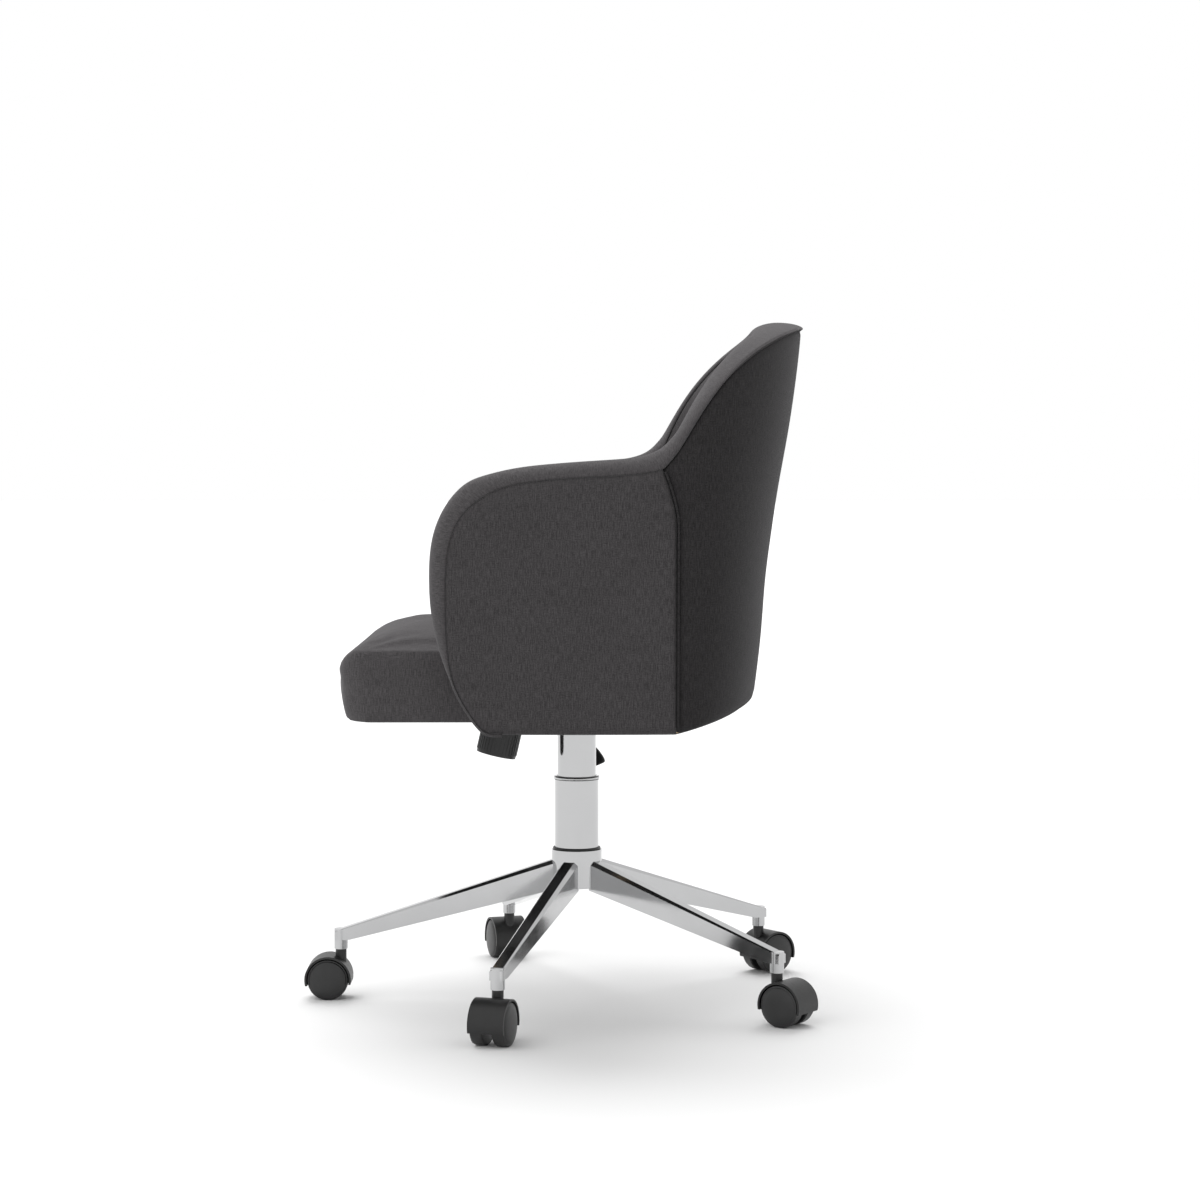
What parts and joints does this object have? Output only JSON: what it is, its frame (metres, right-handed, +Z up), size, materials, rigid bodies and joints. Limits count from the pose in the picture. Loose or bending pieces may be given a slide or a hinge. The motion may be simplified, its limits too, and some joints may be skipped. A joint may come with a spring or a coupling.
{
  "type": "swivel office chair",
  "caption": "Upholstered tub office chair with rounded arms and a domed back, on a chrome five-legged base with twin-wheel casters, lift column and tilt mechanism.",
  "frame": {"origin": "on the column axis at floor level", "axes": "+Z up; the chair faces -Y; +X is the sitter's left"},
  "size_m": [0.6476, 0.6159, 0.828],
  "materials": {
    "upholstery": "woven",
    "outer_upholstery": "woven",
    "lining": "non-woven",
    "plywood": "raw",
    "chrome": "polished",
    "steel": "zinc plated",
    "black_metal": "powder coated",
    "black_plastic": "satin",
    "wheel_plastic": "satin"
  },
  "bodies": {
    "base": {"star_base": "chrome", "caster_sockets": "black_plastic", "pedestal_tube": "chrome", "guide_bush": "black_plastic", "thrust_bearing": "steel"},
    "rod": {"piston_rod": "steel", "rod_clip": "steel"},
    "column": {"gas_cylinder": "black_metal", "upper_tube": "chrome", "mechanism_housing": "black_metal", "tension_nut": "steel", "tension_spring": "steel"},
    "valve": {"release_pin": "steel"},
    "knob": {"tension_knob": "black_plastic", "tension_bolt": "steel"},
    "lever_pivot": {"lever_sleeve": "black_plastic"},
    "lever": {"lever_rod": "steel", "lever_paddle": "black_plastic"},
    "seat": {"seat_cushion": "upholstery", "seat_board": "plywood", "dust_cover": "lining", "arm_pad_left": "upholstery", "arm_pad_right": "upholstery", "arm_frame_left": "plywood", "arm_frame_right": "plywood", "arm_panel_left": "outer_upholstery", "arm_panel_right": "outer_upholstery", "arm_band_left": "upholstery", "arm_band_right": "upholstery", "back_pad": "upholstery", "back_frame": "plywood", "back_panel": "outer_upholstery", "back_band": "upholstery", "frame_screws": "steel", "tee_nuts": "steel", "seat_bolts": "steel", "seat_plate": "black_metal", "pivot_pin": "steel"},
    "caster_1": {"caster_1_hood": "black_plastic", "caster_1_pins": "steel"},
    "caster_1_wheel_left": {"caster_1_wheel_left": "wheel_plastic"},
    "caster_1_wheel_right": {"caster_1_wheel_right": "wheel_plastic"},
    "caster_2": {"caster_2_hood": "black_plastic", "caster_2_pins": "steel"},
    "caster_2_wheel_left": {"caster_2_wheel_left": "wheel_plastic"},
    "caster_2_wheel_right": {"caster_2_wheel_right": "wheel_plastic"},
    "caster_3": {"caster_3_hood": "black_plastic", "caster_3_pins": "steel"},
    "caster_3_wheel_left": {"caster_3_wheel_left": "wheel_plastic"},
    "caster_3_wheel_right": {"caster_3_wheel_right": "wheel_plastic"},
    "caster_4": {"caster_4_hood": "black_plastic", "caster_4_pins": "steel"},
    "caster_4_wheel_left": {"caster_4_wheel_left": "wheel_plastic"},
    "caster_4_wheel_right": {"caster_4_wheel_right": "wheel_plastic"},
    "caster_5": {"caster_5_hood": "black_plastic", "caster_5_pins": "steel"},
    "caster_5_wheel_left": {"caster_5_wheel_left": "wheel_plastic"},
    "caster_5_wheel_right": {"caster_5_wheel_right": "wheel_plastic"}
  },
  "joints": [
    {"name": "swivel", "type": "hinge", "parent": "base", "child": "rod", "pos_m": [0, 0, 0.15], "axis": [0, 0, 1], "continuous": true},
    {"name": "height", "type": "slide", "parent": "rod", "child": "column", "axis": [0, 0, 1], "range_m": [-0.035, 0.05]},
    {"name": "tilt", "type": "hinge", "parent": "column", "child": "seat", "pos_m": [0, -0.125, 0.362], "axis": [-1, 0, 0], "range_deg": [0, 10], "stiffness_Nm_per_rad": 160, "springref_deg": -14.32},
    {"name": "tension", "type": "hinge", "parent": "column", "child": "knob", "pos_m": [0, -0.099, 0.3], "axis": [0, 0.225, 0.9744], "range_deg": [-720, 720]},
    {"name": "lever_lift", "type": "hinge", "parent": "column", "child": "lever_pivot", "pos_m": [-0.052, 0, 0.334], "axis": [0, 1, 0], "range_deg": [0, 5], "stiffness_Nm_per_rad": 12, "springref_deg": -3.44},
    {"name": "lever_pull", "type": "slide", "parent": "lever_pivot", "child": "lever", "axis": [-0.9426, 0, -0.3338], "range_m": [0, 0.01]},
    {"name": "valve_press", "type": "slide", "parent": "column", "child": "valve", "axis": [0, 0, -1], "range_m": [0, 0.0048]},
    {"name": "caster_1_swivel", "type": "hinge", "parent": "base", "child": "caster_1", "pos_m": [0, -0.29, 0.07], "axis": [0, 0, 1], "continuous": true},
    {"name": "caster_1_spin_left", "type": "hinge", "parent": "caster_1", "child": "caster_1_wheel_left", "pos_m": [0, -0.305, 0.025], "axis": [-1, 0, 0], "continuous": true},
    {"name": "caster_1_spin_right", "type": "hinge", "parent": "caster_1", "child": "caster_1_wheel_right", "pos_m": [0, -0.305, 0.025], "axis": [-1, 0, 0], "continuous": true},
    {"name": "caster_2_swivel", "type": "hinge", "parent": "base", "child": "caster_2", "pos_m": [0.27581, -0.08962, 0.07], "axis": [0, 0, 1], "continuous": true},
    {"name": "caster_2_spin_left", "type": "hinge", "parent": "caster_2", "child": "caster_2_wheel_left", "pos_m": [0.29007, -0.09425, 0.025], "axis": [-0.309, -0.9511, 0], "continuous": true},
    {"name": "caster_2_spin_right", "type": "hinge", "parent": "caster_2", "child": "caster_2_wheel_right", "pos_m": [0.29007, -0.09425, 0.025], "axis": [-0.309, -0.9511, 0], "continuous": true},
    {"name": "caster_3_swivel", "type": "hinge", "parent": "base", "child": "caster_3", "pos_m": [0.17046, 0.23461, 0.07], "axis": [0, 0, 1], "continuous": true},
    {"name": "caster_3_spin_left", "type": "hinge", "parent": "caster_3", "child": "caster_3_wheel_left", "pos_m": [0.17927, 0.24675, 0.025], "axis": [0.809, -0.5878, 0], "continuous": true},
    {"name": "caster_3_spin_right", "type": "hinge", "parent": "caster_3", "child": "caster_3_wheel_right", "pos_m": [0.17927, 0.24675, 0.025], "axis": [0.809, -0.5878, 0], "continuous": true},
    {"name": "caster_4_swivel", "type": "hinge", "parent": "base", "child": "caster_4", "pos_m": [-0.17046, 0.23461, 0.07], "axis": [0, 0, 1], "continuous": true},
    {"name": "caster_4_spin_left", "type": "hinge", "parent": "caster_4", "child": "caster_4_wheel_left", "pos_m": [-0.17927, 0.24675, 0.025], "axis": [0.809, 0.5878, 0], "continuous": true},
    {"name": "caster_4_spin_right", "type": "hinge", "parent": "caster_4", "child": "caster_4_wheel_right", "pos_m": [-0.17927, 0.24675, 0.025], "axis": [0.809, 0.5878, 0], "continuous": true},
    {"name": "caster_5_swivel", "type": "hinge", "parent": "base", "child": "caster_5", "pos_m": [-0.27581, -0.08962, 0.07], "axis": [0, 0, 1], "continuous": true},
    {"name": "caster_5_spin_left", "type": "hinge", "parent": "caster_5", "child": "caster_5_wheel_left", "pos_m": [-0.29007, -0.09425, 0.025], "axis": [-0.309, 0.9511, 0], "continuous": true},
    {"name": "caster_5_spin_right", "type": "hinge", "parent": "caster_5", "child": "caster_5_wheel_right", "pos_m": [-0.29007, -0.09425, 0.025], "axis": [-0.309, 0.9511, 0], "continuous": true}
  ],
  "couplings": [
    {"joint": "valve_press", "follows": "lever_lift", "m_per_rad": 0.054}
  ]
}
